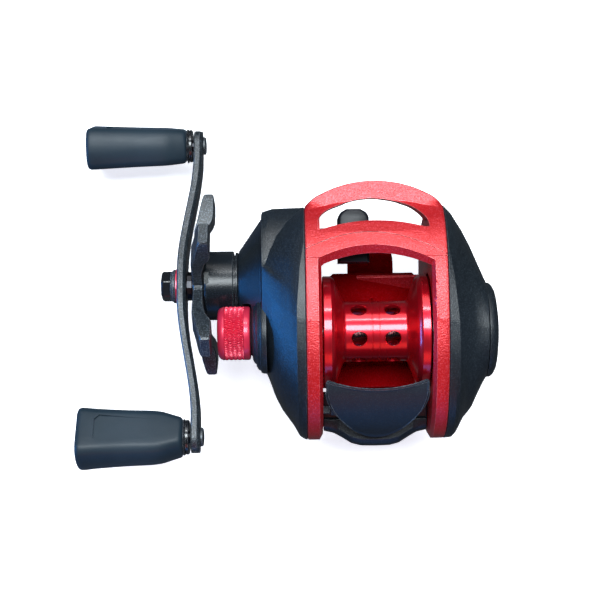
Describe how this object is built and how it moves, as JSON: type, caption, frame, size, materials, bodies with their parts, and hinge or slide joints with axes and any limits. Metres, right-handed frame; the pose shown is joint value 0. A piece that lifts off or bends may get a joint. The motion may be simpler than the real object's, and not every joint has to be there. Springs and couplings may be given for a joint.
{
  "type": "baitcasting reel",
  "caption": "Low-profile left-hand baitcasting fishing reel: red frame and perforated spool, black side plates, star drag, double-paddle handle and thumb bar.",
  "frame": {"origin": "centre of the flat underside of the reel foot", "axes": "+X along the spool axis to the palm side, +Y to the rod tip, +Z away from the rod"},
  "size_m": [0.1291, 0.1093, 0.0619],
  "materials": {
    "red_frame": "satin metallic red coat",
    "red_spool": "glossy red anodised",
    "red_knob": "red anodised, knurled",
    "black_plate": "matte graphite black",
    "thumb_plastic": "matte navy black",
    "black_metal": "black coat with fine speckle",
    "grip_rubber": "soft touch blue grey",
    "steel": "machined steel",
    "cup_alloy": "plain aluminium",
    "spring_steel": "spring steel",
    "brass": "cut brass",
    "cog_plastic": "moulded",
    "fibre": "pressed fibre",
    "guide_insert": "polished hard insert"
  },
  "bodies": {
    "frame_body": {"frame": "red_frame", "front_hood": "red_frame", "reel_foot": "red_frame", "foot_screw_front": "steel", "foot_screw_rear": "steel", "rear_cover": "black_plate", "gear_side_plate": "black_plate", "gear_plate_screw_1": "black_metal", "gear_plate_screw_2": "black_metal", "gear_plate_screw_3": "black_metal", "handle_tower": "black_metal", "one_way_bearing": "steel", "handle_bearing": "steel", "drive_shaft_bearing": "steel", "spool_bearing_gear": "steel", "palm_side_plate": "black_plate", "palm_plate_screw_1": "black_metal", "palm_plate_screw_2": "black_metal", "spool_bearing_palm": "steel", "yoke_post_upper": "steel", "yoke_post_lower": "steel", "yoke_spring_upper": "spring_steel", "yoke_spring_lower": "spring_steel", "guide_rod": "steel"},
    "handle_body": {"drive_shaft": "steel", "drive_cog": "cog_plastic", "main_gear": "brass", "drag_washer_inner": "fibre", "drag_key_washer": "steel", "drag_washer_outer": "fibre", "drag_pressure_plate": "steel", "drag_spring_washer": "spring_steel", "clutch_sleeve": "steel", "handle_arm": "black_metal", "nut_washer": "red_knob", "star_spring": "spring_steel", "handle_nut": "black_metal", "knob_shaft_front": "steel", "knob_shaft_rear": "steel"},
    "star_body": {"star_drag": "black_metal"},
    "knob_front_body": {"grip_front": "grip_rubber", "knob_cap_front": "black_metal"},
    "knob_rear_body": {"grip_rear": "grip_rubber", "knob_cap_rear": "black_metal"},
    "spool_body": {"spool": "red_spool", "spool_shaft": "steel", "brake_cup": "cup_alloy"},
    "thumb_body": {"thumb_bar": "thumb_plastic", "clutch_cam": "black_metal"},
    "yoke_body": {"clutch_yoke": "black_metal"},
    "pinion_body": {"pinion_gear": "brass"},
    "worm_body": {"worm_shaft": "steel", "worm_cog": "cog_plastic"},
    "guide_body": {"line_guide": "black_plate", "guide_ring": "guide_insert", "pawl": "brass"},
    "tension_body": {"tension_knob": "red_knob", "tension_disc": "fibre"},
    "dial_body": {"brake_dial": "black_plate"},
    "magnet_body": {"brake_magnet_ring": "steel"}
  },
  "joints": [
    {"name": "handle_turn", "type": "hinge", "parent": "frame_body", "child": "handle_body", "pos_m": [-0.05, 0.0149, 0.0112], "axis": [1, 0, 0], "continuous": true},
    {"name": "star_turn", "type": "hinge", "parent": "handle_body", "child": "star_body", "pos_m": [-0.0548, 0.0149, 0.0112], "axis": [1, 0, 0], "range_deg": [-360, 180]},
    {"name": "knob_front_spin", "type": "hinge", "parent": "handle_body", "child": "knob_front_body", "pos_m": [-0.075, 0.06125, -0.00485], "axis": [1, 0, 0], "continuous": true},
    {"name": "knob_rear_spin", "type": "hinge", "parent": "handle_body", "child": "knob_rear_body", "pos_m": [-0.075, -0.03145, 0.02725], "axis": [1, 0, 0], "continuous": true},
    {"name": "spool_spin", "type": "hinge", "parent": "frame_body", "child": "spool_body", "pos_m": [0, 0, 0.024], "axis": [1, 0, 0], "continuous": true},
    {"name": "thumb_press", "type": "slide", "parent": "frame_body", "child": "thumb_body", "axis": [0, -0.3401, -0.9404], "range_m": [0, 0.004]},
    {"name": "clutch_shift", "type": "slide", "parent": "frame_body", "child": "yoke_body", "axis": [-1, 0, 0], "range_m": [0, 0.0015], "deforming": ["yoke_spring_upper", "yoke_spring_lower"]},
    {"name": "pinion_spin", "type": "hinge", "parent": "yoke_body", "child": "pinion_body", "pos_m": [-0.028, 0, 0.024], "axis": [1, 0, 0], "continuous": true},
    {"name": "worm_spin", "type": "hinge", "parent": "frame_body", "child": "worm_body", "pos_m": [0, 0.027, 0.027], "axis": [1, 0, 0], "continuous": true},
    {"name": "guide_slide", "type": "slide", "parent": "frame_body", "child": "guide_body", "axis": [1, 0, 0], "range_m": [-0.00285, 0.01555]},
    {"name": "tension_turn", "type": "hinge", "parent": "frame_body", "child": "tension_body", "pos_m": [-0.043, 0, 0.024], "axis": [1, 0, 0], "range_deg": [-540, 180]},
    {"name": "dial_turn", "type": "hinge", "parent": "frame_body", "child": "dial_body", "pos_m": [0.035, 0, 0.024], "axis": [1, 0, 0], "range_deg": [0, 300]},
    {"name": "magnet_shift", "type": "slide", "parent": "frame_body", "child": "magnet_body", "axis": [-1, 0, 0], "range_m": [0, 0.0025]}
  ],
  "couplings": [
    {"joint": "spool_spin", "follows": "handle_turn", "ratio": -6.3},
    {"joint": "pinion_spin", "follows": "handle_turn", "ratio": -6.3},
    {"joint": "worm_spin", "follows": "handle_turn", "ratio": -2.3333},
    {"joint": "clutch_shift", "follows": "thumb_press", "ratio": 0.375},
    {"joint": "dial_turn", "follows": "magnet_shift", "rad_per_m": 2094}
  ]
}
